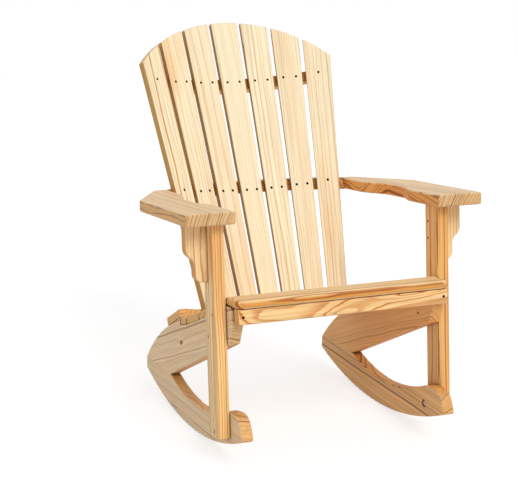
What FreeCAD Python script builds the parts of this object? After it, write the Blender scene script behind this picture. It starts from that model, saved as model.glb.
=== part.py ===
"""A garden rocking chair in softwood boards, with a fanned and hollowed back.

The chair is drawn in its own square frame first: legs upright, +X to the sitter's left, +Y to the back,
+Z up, with Y = 0 at the front faces of the legs and Z = 0 at their feet. All pieces then lean back together
about X, onto the point where the rockers touch the floor when nobody sits in the chair. The origin of the
finished part is on the floor, in the middle of the chair's width and depth.
"""
import FreeCAD, Part

import math
import os

import Sketcher

doc = FreeCAD.newDocument("RockingChair")

# Driving sizes, in millimetres and degrees
SIZES = {
    # stock
    "plank": 28.6,            # thick boards: legs, arms, rockers, stringers, brackets and upper rails
    "board": 19.0,            # thin boards: seat, back and lowest rail
    "plank_round": 4.0,       # eased edges of the thick boards
    "board_round": 3.0,       # eased edges of the thin boards
    "fit": 0.15,              # play left where a curved rail meets the flat slats
    "seat_play": 1.0,         # play at the ends of the seat boards
    # legs
    "leg_spacing": 534.0,     # clear width between the legs
    "leg_width": 63.5,        # front to back
    "leg_height": 492.0,
    # arms
    "arm_inset": 16.4,        # inner edge, in from the inner face of the leg
    "arm_overhang": 71.4,     # outer edge, out from the outer face of the leg
    "arm_nose": 36.0,         # front edge, ahead of the leg
    "arm_taper_start": 305.0,  # where the outer edge starts to run inward
    "arm_tail_past": 2.0,     # rear edge, behind the end of the middle rail
    "arm_tail_width": 33.8,   # width at the rear edge, before its corner is rounded
    "arm_scoop": 2.0,         # hollow of the inner edge, out from the inner face of the leg
    "arm_hollow_start": 105.0,
    "arm_hollow_deep": 190.0,
    "arm_hollow_end": 250.0,
    "arm_tail_start": 375.0,
    "arm_round": 5.0,
    "arm_corner": 9.0,
    "arm_taper_corner": 40.0,
    "arm_back_corner": 26.0,
    # brackets under the arms
    "bracket_reach": 50.4,    # out from the leg, at the top
    "bracket_straight": 58.0,
    "bracket_waist": 30.0,    # reach of the narrow lower part
    "bracket_waist_drop": 98.0,
    "bracket_height": 135.0,
    "bracket_toe": 17.0,      # radius of the lower corner
    # rockers
    "rocker_radius": 960.7,   # the long curve that runs on the floor
    "rocker_middle": 241.5,   # centre of that curve, behind the front of the leg
    "rocker_drop": 43.3,      # lowest point of the curve, under the feet of the legs
    "rocker_nose": 71.5,      # front tip, ahead of the leg
    "rocker_tail": 627.5,     # rear tip
    "nose_height": 62.5,      # top of the nose, over the foot of the leg
    "nose_set": 49.5,         # centre of its rounding, behind the tip
    "nose_round": 43.0,
    "nose_sweep": 75.0,       # turn of the nose's rounding
    "brow_radius": 230.0,     # long easy curve behind the nose
    "brow_sweep": 18.5,
    "sweep_radius": 560.0,    # hollow top edge between nose and joint
    "nose_tip_round": 6.0,
    # joint between a rocker and the stringer above it
    "joint_front": 428.0,
    "joint_front_height": 60.0,
    "joint_rear": 622.0,
    "joint_rear_height": 70.0,
    # stringers under the seat
    "seat_height": 305.0,     # flat front part of the stringer's top edge
    "stringer_front_depth": 43.0,
    "chin_back": 23.6,
    "chin_drop": 88.0,
    "tail_lip": 4.0,          # blunt rear tip, over the joint and ahead of its end
    "tail_curve": 600.0,
    "step_play": 1.0,
    # seat boards
    "seat_board": 89.0,
    "seat_gap": 7.0,
    "front_board": 72.0,
    "front_board_nose": 63.0,
    "front_board_corner": 25.0,
    "front_board_round": 9.0,
    "seat_slope_front": 21.5,
    "seat_slope_middle": 18.5,
    "seat_slope_back": 16.5,
    "seat_slope_last": 10.0,
    "seat_end_gap": 3.8,      # between the last seat board and the back
    # apron under the front of the seat
    "apron_height": 35.6,
    "apron_end": 6.0,         # how far its ends stay inside the legs
    # back, measured from a point on the middle slat's front face, about level with the arms
    "back_set": 506.7,
    "back_height": 502.4,
    "recline": 21.7,
    "fan_angle": 12.1,        # half angle of the cone that the slats lie on
    "fan_radius": 463.0,
    "slat_turn": 8.38,        # turn about the cone's axis from slat to slat
    "slat_width": 57.9,
    "slat_taper": 0.031,      # widening for each millimetre up the slat
    "slat_foot": 330.0,       # lower end, below the arm level
    "head_middle": 132.0,     # centre of the round head, above the arm level
    "head_radius": 330.0,
    # rails behind the back
    "upper_rail_rise": 295.0,
    "upper_rail_past": 27.0,  # beyond its outermost screw
    "upper_rail_depth": 38.0,  # behind the middle slat
    "upper_rail_end_depth": 28.8,  # behind the slats, at its ends
    "middle_rail_half": 240.0,
    "middle_rail_depth": 41.0,
    "middle_rail_end_depth": 24.7,
    "rail_blank": 45.0,       # wood ahead of that corner before the hollow is sawn
    "lower_rail_drop": 324.0,
    "lower_rail_front": 59.5,
    "lower_rail_rear": 48.0,
    # screws, dowels and bolts
    "screw_head": 3.3,        # radii
    "screw_shank": 1.9,
    "screw_tip": 6.0,         # length of the point
    "screw_sink": 2.0,        # depth of a head under the surface
    "drive_width": 2.4,
    "drive_depth": 1.4,
    "short_screw": 40.0,
    "seat_screw": 45.0,
    "leg_screw": 50.0,
    "joint_screw": 65.0,
    "apron_screw": 65.0,
    "tie_screw": 90.0,
    "pair_share": 0.25,       # the outer screw or dowel of a pair, as a share of the piece's width
    "row_spread_upper": 17.0,  # half the distance between the two screws on a slat
    "row_spread_middle": 13.9,
    "middle_row_up": 10.4,    # the middle row of screws, over the tops of the legs
    "seat_screw_inset": 10.0,
    "apron_screw_inset": 17.8,
    "front_screw_back": 46.0,
    "leg_screw_high": 285.0,
    "leg_screw_high_set": 17.3,
    "leg_screw_low": 230.6,
    "leg_screw_low_set": 48.7,
    "bracket_screw_far": 82.0,   # down from the top of the leg
    "bracket_screw_near": 42.0,
    "tie_turn": 32.0,
    "tie_depth": 52.0,
    "tie_middle": 14.0,
    "dowel_radius": 5.0,
    "dowel_up": 18.0,
    "dowel_down": 25.0,
    "bolt_set": 28.0,
    "bolt_height": 14.0,
    "bolt_shank": 3.0,
    "bolt_head": 5.5,
    "bolt_sink": 1.0,
    "bolt_end_sink": 1.2,     # its end, inside the rocker's inner face
    "washer_radius": 9.0,
    "washer_thick": 1.6,
    "nut_across": 10.0,
    "nut_thick": 5.0,
    "nut_bore": 10.0,
    "nut_bore_depth": 9.0,
    # rest of the empty chair on the floor
    "lean": 5.31,             # where its centre of mass comes over the floor contact
    "depth_middle": 28.9,     # middle of its depth, behind the floor contact
}

SLAT_STEPS = range(-3, 4)
FULL_BOARD_SLOPES = ("seat_slope_front", "seat_slope_middle", "seat_slope_back")
SIDES = {"left": 1, "right": -1}
RIGHT_ANGLE = 90
NUT_SIDES = 6
NEAR = 0.01                   # how far off an edge may lie when it is looked for


class Size:
    """A size as a number, together with the formula that ties it to the spreadsheet."""

    def __init__(self, value, formula):
        self.value = value
        self.formula = formula

    def __add__(self, other):
        other = as_size(other)
        return Size(self.value + other.value, f"({self.formula} + {other.formula})")

    def __sub__(self, other):
        other = as_size(other)
        return Size(self.value - other.value, f"({self.formula} - {other.formula})")

    def __mul__(self, other):
        other = as_size(other)
        return Size(self.value * other.value, f"({self.formula} * {other.formula})")

    def __truediv__(self, other):
        other = as_size(other)
        return Size(self.value / other.value, f"({self.formula} / {other.formula})")

    def __neg__(self):
        return Size(-self.value, f"(0 - {self.formula})")

    def __radd__(self, other):
        return as_size(other) + self

    def __rsub__(self, other):
        return as_size(other) - self

    def __rmul__(self, other):
        return as_size(other) * self


def as_size(number):
    """Plain numbers join in sums with sizes."""
    if isinstance(number, Size):
        return number
    return Size(float(number), f"({float(number)})")


def sine(angle):
    return Size(math.sin(math.radians(angle.value)), f"sin({angle.formula})")


def cosine(angle):
    return Size(math.cos(math.radians(angle.value)), f"cos({angle.formula})")


def root(size):
    return Size(math.sqrt(size.value), f"sqrt({size.formula})")


# The two spreadsheets: driving sizes as plain numbers, and what is worked out from them
sheet = doc.addObject("Spreadsheet::Sheet", "Sizes")
worked = doc.addObject("Spreadsheet::Sheet", "Worked")
for row, (alias, number) in enumerate(SIZES.items(), start=1):
    sheet.set(f"A{row}", alias)
    sheet.set(f"B{row}", str(number))
    sheet.setAlias(f"B{row}", alias)
doc.recompute()

worked_sizes = {}


def size(alias):
    """A driving size by its name."""
    return Size(SIZES[alias], f"Sizes.{alias}")


def keep(alias, value):
    """Write a worked-out size into the second sheet, so that later formulas stay short."""
    cell = f"B{len(worked_sizes) + 1}"
    worked.set(cell, "=" + value.formula)
    worked.setAlias(cell, alias)
    worked_sizes[alias] = value.value
    return Size(value.value, f"Worked.{alias}")


# Helpers that place, draw and round
def place(x, y, z, *turns):
    """The formula of a placement at a point, turned by pairs of an axis and an angle in degrees."""
    spot = [as_size(part).formula for part in (x, y, z)]
    formula = f"placement(vector({'; '.join(spot)}); rotation(vector(1; 0; 0); 0))"
    for axis, angle in turns:
        formula += f" * placement(vector(0; 0; 0); rotation(vector({axis}); {as_size(angle).formula}))"
    return formula


X_AXIS = "1; 0; 0"
Y_AXIS = "0; 1; 0"
Z_AXIS = "0; 0; 1"


def new_body(name):
    """An empty body and its three origin planes."""
    body = doc.addObject("PartDesign::Body", name)
    return body, {feature.Role: feature for feature in body.Origin.OriginFeatures}


def arc_shape(start, end, radius, turn):
    """The arc from start to end, bending left for a turn of 1 and right for -1."""
    chord = end - start
    middle = (start + end) * 0.5
    rise = math.sqrt(max(radius ** 2 - (chord.Length / 2) ** 2, 0.0))
    side = FreeCAD.Vector(-chord.y, chord.x, 0)
    side.normalize()
    centre = middle + side * rise * turn
    first, last = (start, end) if turn > 0 else (end, start)
    angles = [math.atan2(point.y - centre.y, point.x - centre.x) for point in (first, last)]
    circle = Part.Circle(centre, FreeCAD.Vector(0, 0, 1), radius)
    return Part.ArcOfCircle(circle, angles[0], angles[1])


def draw(body, plane, name, corners, offset=None):
    """A closed outline on one of the body's planes, held by formulas at every corner.

    A corner is (x, y), or (x, y, radius, turn) where an arc runs to it from the corner before.
    """
    sketch = body.newObject("Sketcher::SketchObject", name + "_outline")
    sketch.AttachmentSupport = (plane, [""])
    sketch.MapMode = "FlatFace"
    if offset is not None:
        sketch.setExpression("AttachmentOffset.Base.z", offset.formula)
    points = [(as_size(corner[0]), as_size(corner[1])) for corner in corners]
    spots = [FreeCAD.Vector(x.value, y.value, 0) for x, y in points]
    ends = []
    radii = []
    for index, corner in enumerate(corners):
        start, end = spots[index - 1], spots[index]
        if len(corner) == 2:
            edge = sketch.addGeometry(Part.LineSegment(start, end), False)
            ends.append((edge, 1, 2))
        else:
            edge = sketch.addGeometry(arc_shape(start, end, corner[2].value, corner[3]), False)
            ends.append((edge, 1, 2) if corner[3] > 0 else (edge, 2, 1))
            radii.append((edge, corner[2]))
    for index, (edge, first, last) in enumerate(ends):
        following = ends[(index + 1) % len(ends)]
        sketch.addConstraint(Sketcher.Constraint("Coincident", edge, last, following[0], following[1]))
        for kind, coordinate in zip(("DistanceX", "DistanceY"), points[index]):
            rule = Sketcher.Constraint(kind, -1, 1, edge, last, coordinate.value)
            number = sketch.addConstraint(rule)
            sketch.setExpression(f"Constraints[{number}]", coordinate.formula)
    for edge, radius in radii:
        number = sketch.addConstraint(Sketcher.Constraint("Radius", edge, radius.value))
        sketch.setExpression(f"Constraints[{number}]", radius.formula)
    worked.recompute()
    sketch.recompute()
    return sketch


def pad(body, sketch, thickness, backward=False):
    """A board as thick as given, from its outline."""
    feature = body.newObject("PartDesign::Pad", sketch.Name + "_pad")
    feature.Profile = sketch
    feature.Reversed = backward
    feature.setExpression("Length", thickness.formula)
    feature.recompute()
    return feature


def ease(body, feature, radius, wanted):
    """Round the edges for which wanted(middle point, edge) holds."""
    names = []
    for number, edge in enumerate(feature.Shape.Edges, start=1):
        middle = edge.valueAt((edge.FirstParameter + edge.LastParameter) / 2)
        if wanted(middle, edge):
            names.append(f"Edge{number}")
    rounding = body.newObject("PartDesign::Fillet", f"{feature.Name}_eased")
    rounding.Base = (feature, names)
    rounding.setExpression("Radius", radius.formula)
    rounding.recompute()
    return rounding


def broad_edges(axis, low, high):
    """A test for the edges that lie in either broad face of a board."""
    def on_broad_face(middle, edge):
        span = [getattr(vertex.Point, axis) for vertex in edge.Vertexes]
        flat = max(span) - min(span) < NEAR
        return flat and min(abs(span[0] - low.value), abs(span[0] - high.value)) < NEAR
    return on_broad_face


def drawn_edges(axes, corners, numbers):
    """A test for the edges of a board that were drawn from the corner before to each of these corners."""
    def at(point, corner):
        gaps = [getattr(point, axis) - as_size(part).value for axis, part in zip(axes, corner)]
        return math.hypot(*gaps) < NEAR

    def was_drawn(middle, edge):
        first, last = edge.Vertexes[0].Point, edge.Vertexes[-1].Point
        for number in numbers:
            start, end = corners[number - 1], corners[number]
            if (at(first, start) and at(last, end)) or (at(first, end) and at(last, start)):
                return True
        return False
    return was_drawn


def upright_edge(axes, corner):
    """A test for the edge that stands on this corner."""
    def stands(middle, edge):
        gaps = [getattr(middle, axis) - as_size(part).value for axis, part in zip(axes, corner)]
        return math.hypot(*gaps) < NEAR
    return stands


def all_edges(middle, edge):
    return True


# What is cut out of each piece, by node: holes for fasteners, and the hollows of the rails
cutters = {}
finished = {}


def cut_from(nodes, cutter):
    """Have a cutter taken out of each of these pieces when they are finished."""
    for node in nodes:
        cutters.setdefault(node, []).append(cutter)


def finish(node, body, frame=None):
    """Put a body in its frame, cut its holes and lean the piece back with the rest of the chair."""
    result = body
    if node in cutters:
        if frame is not None:
            body.setExpression("Placement", frame)
        tool = doc.addObject("Part::Compound", f"{node}_cutters")
        tool.Links = cutters[node]
        result = doc.addObject("Part::Cut", f"{node}_cut")
        result.Base = body
        result.Tool = tool
        frame = None
    result.setExpression("Placement", SETTLE if frame is None else f"{SETTLE} * {frame}")
    result.Label = node
    finished[node] = result


# Sizes worked out from the driving ones
plank = size("plank")
board = size("board")
leg_inner = keep("leg_inner", size("leg_spacing") / 2)
leg_outer = keep("leg_outer", leg_inner + plank)
side_inner = keep("side_inner", leg_inner - plank)          # inner faces of rockers and stringers
side_middle = keep("side_middle", leg_inner - plank / 2)
leg_height = size("leg_height")
leg_width = size("leg_width")

rocker_centre = keep("rocker_centre", size("rocker_radius") - size("rocker_drop"))
lean_sine = keep("lean_sine", sine(size("lean")))
lean_cosine = keep("lean_cosine", cosine(size("lean")))
settle_y = keep(
    "settle_y",
    -(size("rocker_middle") * lean_cosine + rocker_centre * lean_sine + size("depth_middle")))
settle_z = keep(
    "settle_z",
    size("rocker_radius") - (rocker_centre * lean_cosine - size("rocker_middle") * lean_sine))
SETTLE = place(0, settle_y, settle_z, (X_AXIS, -size("lean")))

recline_sine = keep("recline_sine", sine(size("recline")))
recline_cosine = keep("recline_cosine", cosine(size("recline")))
fan_sine = keep("fan_sine", sine(size("fan_angle")))
fan_cosine = keep("fan_cosine", cosine(size("fan_angle")))
fan_reach = keep("fan_reach", size("fan_radius") / fan_sine)  # from the cone's point to the arm level
fan_y = keep("fan_y", size("back_set") - fan_reach * recline_sine)
fan_z = keep("fan_z", size("back_height") - fan_reach * recline_cosine)
BACK = place(0, size("back_set"), size("back_height"), (X_AXIS, -size("recline")))


def back_point(rise, depth, name):
    """Y and Z of a point in the middle plane, by its height up the back and its depth behind it."""
    across = size("back_set") + rise * recline_sine + depth * recline_cosine
    upward = size("back_height") + rise * recline_cosine - depth * recline_sine
    return keep(name + "_y", across), keep(name + "_z", upward)


def seat_facets():
    """The straight runs of the stringer's top edge that carry the seat boards."""
    pitch = size("seat_board") + size("seat_gap")
    spots = [(keep("facet_y_0", size("front_board") - size("front_board_nose") + size("seat_gap") / 2),
              size("seat_height"))]
    for index, slope in enumerate(FULL_BOARD_SLOPES, start=1):
        y, z = spots[-1]
        spots.append((keep(f"facet_y_{index}", y + pitch * cosine(size(slope))),
                      keep(f"facet_z_{index}", z - pitch * sine(size(slope)))))
    return spots


facets = seat_facets()
last_facet_y, last_facet_z = facets[-1]
ledge_front = back_point(-size("lower_rail_drop"), -size("lower_rail_front"), "ledge_front")
ledge_rear = back_point(-size("lower_rail_drop"), size("lower_rail_rear"), "ledge_rear")
step_y = keep("step_y", ledge_front[0])
last_slope_sine = keep("last_slope_sine", sine(size("seat_slope_last")))
last_slope_cosine = keep("last_slope_cosine", cosine(size("seat_slope_last")))
step_z = keep("step_z", last_facet_z - (step_y - last_facet_y) * last_slope_sine / last_slope_cosine)


def fan_hollow(rise, half):
    """How far the fan comes forward at this half width, on a level up the back."""
    radius = (fan_reach + rise) * fan_sine
    return (radius - root(radius * radius - half * half)) / fan_cosine


# The rails behind the back: the levels they follow and where the rear corners of their ends lie
upper_rail_half = keep(
    "upper_rail_half",
    (fan_reach + size("upper_rail_rise")) * fan_sine * sine(max(SLAT_STEPS) * size("slat_turn"))
    + size("upper_rail_past"))
upper_rail_end = keep(
    "upper_rail_end",
    board + size("upper_rail_end_depth") - fan_hollow(size("upper_rail_rise"), upper_rail_half))
middle_height = keep("middle_height", leg_height + plank / 2)
middle_rise = keep("middle_rise", (middle_height - size("back_height")) / recline_cosine)
middle_row_height = leg_height + size("middle_row_up")
middle_row_rise = keep("middle_row_rise", (middle_row_height - size("back_height")) / recline_cosine)
middle_slat_back = keep(
    "middle_slat_back", size("back_set") + middle_rise * recline_sine + board / recline_cosine)
middle_rail_rear = keep(
    "middle_rail_rear",
    middle_slat_back + size("middle_rail_end_depth") - fan_hollow(middle_rise, size("middle_rail_half")))


# Fasteners. Each master points down, with the top of its head at the origin
def turned(name, corners):
    """A solid turned about Z from its half section."""
    body, planes = new_body(name)
    section = draw(body, planes["XZ_Plane"], name, corners)
    feature = body.newObject("PartDesign::Revolution", name + "_turned")
    feature.Profile = section
    feature.ReferenceAxis = (section, ["V_Axis"])
    feature.Angle = 360
    feature.recompute()
    return body, planes


def fastener_masters(node, head, shank, length, tip, mouth):
    """A countersunk screw or bolt with a square drive, and the hole that it fills up to a clear mouth."""
    neck = head - shank
    stem = [(0, -length), (shank, tip - length), (shank, -neck)]
    body, planes = turned(f"{node}_master", [(0, 0)] + stem + [(head, 0)])
    half = size("drive_width") / 2
    square = [(half, half), (-half, half), (-half, -half), (half, -half)]
    drive = body.newObject("PartDesign::Pocket", f"{node}_drive")
    drive.Profile = draw(body, planes["XY_Plane"], f"{node}_drive", square)
    drive.setExpression("Length", size("drive_depth").formula)
    drive.recompute()
    hole, _ = turned(f"{node}_hole", [(0, mouth)] + stem + [(head, 0), (head, mouth)])
    return body, hole


def cylinder(name, radius, height):
    """A plain cylinder on the origin, up along Z."""
    shape = doc.addObject("Part::Cylinder", name)
    shape.setExpression("Radius", radius.formula)
    shape.setExpression("Height", height.formula)
    return shape


def copies(name, master, frames):
    """Copies of a master, one at each frame."""
    links = []
    for number, frame in enumerate(frames, start=1):
        link = doc.addObject("App::Link", f"{name}_{number}")
        link.LinkedObject = master
        link.setExpression("Placement", frame)
        links.append(link)
    return links


def finish_set(node, links):
    """A set of like fasteners as one finished node."""
    group = doc.addObject("Part::Compound", f"{node}_set")
    group.Links = links
    result = doc.addObject("Part::Compound", f"{node}_settled")
    result.Links = [group]
    result.setExpression("Placement", SETTLE)
    result.Label = node
    finished[node] = result


def fasten(node, length, spots, mouth=None):
    """A set of wood screws. A spot is the frame on the surface and the pieces that the screw goes through."""
    sink = size("screw_sink")
    screw, hole = fastener_masters(
        node, size("screw_head"), size("screw_shank"), length, size("screw_tip"), mouth or 2 * sink)
    frames = [f"{frame} * {place(0, 0, -sink)}" for frame, _ in spots]
    finish_set(node, copies(node, screw, frames))
    for (_, pieces), link in zip(spots, copies(f"{node}_hole", hole, frames)):
        cut_from(pieces, link)


def slat_frame(step):
    """A slat's frame: X across it, Y up along it from the cone's point, Z out of its front face."""
    fan_tilt = size("recline") - size("fan_angle")
    axis = f"0; sin({fan_tilt.formula}); cos({fan_tilt.formula})"
    return place(0, fan_y, fan_z, (axis, -step * size("slat_turn")), (X_AXIS, RIGHT_ANGLE - size("recline")))


def slat_reach(step, rise):
    """How far up a slat, from the cone's point, it crosses the level at this rise."""
    turn = cosine(step * size("slat_turn"))
    return (fan_reach + rise) / (fan_cosine * fan_cosine + fan_sine * fan_sine * turn)


def row_spots(rail, rise, spread=None, level=False):
    """Screw places on one row: two on each inner slat where there is a spread, else one."""
    spots = []
    for number, step in enumerate(SLAT_STEPS, start=1):
        offsets = [0] if abs(step) == max(SLAT_STEPS) or spread is None else [-spread, spread]
        for offset in offsets:
            turns = [(X_AXIS, size("recline"))] if level else []
            frame = f"{slat_frame(step)} * {place(offset, slat_reach(step, rise), 0, *turns)}"
            spots.append((frame, [f"back_slat_{number}", rail]))
    return spots


def facet_frame(facet, slope):
    """A seat board's frame: X across the chair, Y down the slope from the facet's front, Z up."""
    return place(0, *facet, (X_AXIS, -size(slope)))


# Where the two screws or dowels of a pair stand, and the full seat boards: number, facet and slope
PAIR = (size("pair_share"), 1 - size("pair_share"))
SEAT_ROWS = [(number, *row) for number, row in enumerate(zip(facets, FULL_BOARD_SLOPES), start=2)]
seat_screw_x = keep("seat_screw_x", leg_inner - size("seat_screw_inset"))
wing_end = keep(
    "wing_end",
    (step_y - size("step_play") - last_facet_y - board * last_slope_sine) / last_slope_cosine)


def seat_screw_spots(name, side):
    """Two screws at the end of each full seat board, one in the first and the last."""
    front_y = size("front_screw_back") - size("front_board_nose")
    front = place(side * seat_screw_x, front_y, size("seat_height") + board)
    spots = [(front, ["seat_board_1", f"stringer_{name}"])]
    for number, facet, slope in SEAT_ROWS:
        for share in PAIR:
            along = size("seat_gap") / 2 + share * size("seat_board")
            frame = f"{facet_frame(facet, slope)} * {place(side * seat_screw_x, along, board)}"
            spots.append((frame, [f"seat_board_{number}", f"stringer_{name}"]))
    last_frame = facet_frame(facets[-1], "seat_slope_last")
    last = f"{last_frame} * {place(side * seat_screw_x, wing_end / 2, board)}"
    spots.append((last, ["seat_board_5", f"stringer_{name}"]))
    return spots


def lower_rail_screw_spots(name, side):
    """Two screws at the end of the lowest rail, down into the stringer's ledge."""
    top = board - size("lower_rail_drop")
    depths = [-size("lower_rail_front") / 2, size("lower_rail_rear") / 2]
    frames = [f"{BACK} * {place(side * side_middle, depth, top)}" for depth in depths]
    return [(frame, ["back_rail_lower", f"stringer_{name}"]) for frame in frames]


def leg_screw_spots(name, side):
    """Two screws through the leg into the stringer, heads on the outer face."""
    places = [(size("leg_screw_high_set"), size("leg_screw_high")),
              (size("leg_screw_low_set"), size("leg_screw_low"))]
    return [(place(side * leg_outer, y, z, (Y_AXIS, RIGHT_ANGLE * side)), [f"leg_{name}", f"stringer_{name}"])
            for y, z in places]


def bracket_screw_spots(name, side):
    """Two screws through the leg into the arm's bracket, heads on the leg's inner face."""
    middle = leg_width - plank / 2
    heights = [leg_height - size("bracket_screw_far"), leg_height - size("bracket_screw_near")]
    pieces = [f"leg_{name}", f"arm_bracket_{name}"]
    return [(place(side * leg_inner, middle, z, (Y_AXIS, -RIGHT_ANGLE * side)), pieces) for z in heights]


def apron_screw_spots(name, side):
    """One screw through the end of the apron into the stringer's front end."""
    across = side * (leg_inner - size("apron_screw_inset"))
    height = size("seat_height") - size("apron_height") / 2
    return [(place(across, -2 * plank, height, (X_AXIS, RIGHT_ANGLE)), ["apron", f"stringer_{name}"])]


def joint_screw_spots(name, side):
    """Two screws up through the rocker into the stringer, heads deep in the rocker."""
    length = size("joint_rear") - size("joint_front")
    climb = size("joint_rear_height") - size("joint_front_height")
    spots = []
    for share in PAIR:
        y = size("joint_front") + share * length
        z = size("joint_front_height") + share * climb - size("joint_screw") / 2
        upward = place(side * side_middle, y, z, (X_AXIS, 2 * RIGHT_ANGLE))
        spots.append((upward, [f"rocker_{name}", f"stringer_{name}"]))
    return spots


def tie_screw_spots(name, side):
    """One long screw from the arm's tapered edge into the end of the middle rail."""
    y = middle_rail_rear - size("tie_middle")
    end = place(side * size("middle_rail_half"), y, middle_height,
                (Z_AXIS, -side * size("tie_turn")), (Y_AXIS, RIGHT_ANGLE * side))
    return [(f"{end} * {place(0, 0, size('tie_depth'))}", [f"arm_{name}", "back_rail_middle"])]


def both_sides(spots_for):
    """The spots of the left and the right side together."""
    return [spot for name, side in SIDES.items() for spot in spots_for(name, side)]


fasten("back_screws_upper", size("short_screw"),
       row_spots("back_rail_upper", size("upper_rail_rise"), size("row_spread_upper")))
fasten("back_screws_middle", size("short_screw"),
       row_spots("back_rail_middle", middle_row_rise, size("row_spread_middle"), level=True))
fasten("back_screws_lower", size("short_screw"),
       row_spots("back_rail_lower", board / 2 - size("lower_rail_drop")))
fasten("seat_screws", size("seat_screw"), both_sides(seat_screw_spots))
fasten("lower_rail_screws", size("seat_screw"), both_sides(lower_rail_screw_spots))
fasten("leg_screws", size("leg_screw"), both_sides(leg_screw_spots))
fasten("arm_bracket_screws", size("leg_screw"), both_sides(bracket_screw_spots))
fasten("apron_screws", size("apron_screw"), both_sides(apron_screw_spots))
fasten("rocker_joint_screws", size("joint_screw"), both_sides(joint_screw_spots), mouth=leg_width)
fasten("arm_tie_screws", size("tie_screw"), both_sides(tie_screw_spots), mouth=leg_width)


def dowel_pairs():
    """Dowels that pin the arms to the tops of the legs."""
    dowel = cylinder("arm_dowel", size("dowel_radius"), size("dowel_up") + size("dowel_down"))
    links = []
    for name, side in SIDES.items():
        across, foot = side * (leg_inner + plank / 2), leg_height - size("dowel_down")
        pair = copies(f"arm_dowel_{name}", dowel, [place(across, share * leg_width, foot) for share in PAIR])
        for link in pair:
            cut_from([f"leg_{name}", f"arm_{name}"], link)
        links += pair
    finish_set("arm_dowels", links)


def bolt_sets():
    """Bolts that clamp the legs to the rockers, their washers and nuts sunk in the rockers' inner faces."""
    floor = 2 * plank - size("nut_bore_depth")
    bolt, bolt_hole = fastener_masters(
        "rocker_bolts", size("bolt_head"), size("bolt_shank"),
        2 * plank - size("bolt_sink") - size("bolt_end_sink"), as_size(0), 2 * size("bolt_sink"))
    washer = doc.addObject("Part::Cut", "washer")
    washer.Base = cylinder("washer_disc", size("washer_radius"), size("washer_thick"))
    washer.Tool = cylinder("washer_hole", size("bolt_shank"), size("washer_thick"))
    prism = doc.addObject("Part::Prism", "nut_prism")
    prism.Polygon = NUT_SIDES
    half_side = cosine(as_size(2 * RIGHT_ANGLE / NUT_SIDES))
    prism.setExpression("Circumradius", (size("nut_across") / 2 / half_side).formula)
    prism.setExpression("Height", size("nut_thick").formula)
    nut = doc.addObject("Part::Cut", "nut")
    nut.Base = prism
    nut.Tool = cylinder("nut_hole", size("bolt_shank"), size("nut_thick"))
    nut_bore = cylinder("nut_bore_cutter", size("nut_bore"), leg_width)

    def sets_at(name, master, depth):
        spot = (size("bolt_set"), size("bolt_height"))
        frames = [f"{place(side * leg_outer, *spot, (Y_AXIS, RIGHT_ANGLE * side))} * {place(0, 0, -depth)}"
                  for side in SIDES.values()]
        return copies(name, master, frames)

    finish_set("rocker_bolts", sets_at("rocker_bolts", bolt, size("bolt_sink")))
    finish_set("bolt_washers", sets_at("bolt_washers", washer, floor + size("washer_thick")))
    finish_set("bolt_nuts", sets_at("bolt_nuts", nut, floor + size("washer_thick") + size("nut_thick")))
    for name, link in zip(SIDES, sets_at("bolt_hole", bolt_hole, size("bolt_sink"))):
        cut_from([f"leg_{name}", f"rocker_{name}"], link)
    for name, link in zip(SIDES, sets_at("nut_bore", nut_bore, floor + leg_width)):
        cut_from([f"rocker_{name}"], link)


dowel_pairs()
bolt_sets()


def make_leg(name, side):
    """An upright front leg, square at the top and eased elsewhere."""
    body, planes = new_body(f"leg_{name}_body")
    inner, outer = side * leg_inner, side * leg_outer
    corners = [(inner, 0), (outer, 0), (outer, leg_width), (inner, leg_width)]
    post = pad(body, draw(body, planes["XY_Plane"], f"leg_{name}", corners), leg_height)
    ease(body, post, size("plank_round"), lambda middle, edge: middle.z < leg_height.value - NEAR)
    finish(f"leg_{name}", body)


def s_curve(start, end, first_turn):
    """Two equal arcs that carry an edge sideways between two parallel runs along Y."""
    (x1, y1), (x2, y2) = start, end
    side = 1 if x2.value > x1.value else -1
    across = side * (x2 - x1)
    along = y2 - y1
    radius = (across * across + along * along) / (4 * across)
    return [((x1 + x2) / 2, (y1 + y2) / 2, radius, first_turn), (x2, y2, radius, -first_turn)]


def make_arm(name, side):
    """A broad flat arm, tapered at the back and hollowed on its inner edge."""
    body, planes = new_body(f"arm_{name}_body")
    front = -size("arm_nose")
    front_x = side * (leg_inner - size("arm_inset"))
    outer = side * (leg_outer + size("arm_overhang"))
    hollow = side * (leg_inner + size("arm_scoop"))
    tail_x = side * size("middle_rail_half")
    tail_outer = side * (size("middle_rail_half") + size("arm_tail_width"))
    tail, taper = middle_rail_rear + size("arm_tail_past"), size("arm_taper_start")
    corners = [(front_x, front), (outer, front), (outer, taper), (tail_outer, tail), (tail_x, tail),
               (tail_x, size("arm_tail_start"))]
    corners += s_curve((tail_x, size("arm_tail_start")), (hollow, size("arm_hollow_end")), side)
    corners += [(hollow, size("arm_hollow_deep"))]
    corners += s_curve((hollow, size("arm_hollow_deep")), (front_x, size("arm_hollow_start")), -side)
    plan = draw(body, planes["XY_Plane"], f"arm_{name}", corners, leg_height)
    shape = pad(body, plan, plank)

    for rounding, corner in (("arm_back_corner", (tail_outer, tail)), ("arm_taper_corner", (outer, taper)),
                             ("arm_corner", (outer, front)), ("arm_round", (front_x, front))):
        shape = ease(body, shape, size(rounding), upright_edge("xy", corner))
    ease(body, shape, size("arm_round"), broad_edges("z", leg_height, leg_height + plank))
    finish(f"arm_{name}", body)


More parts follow.
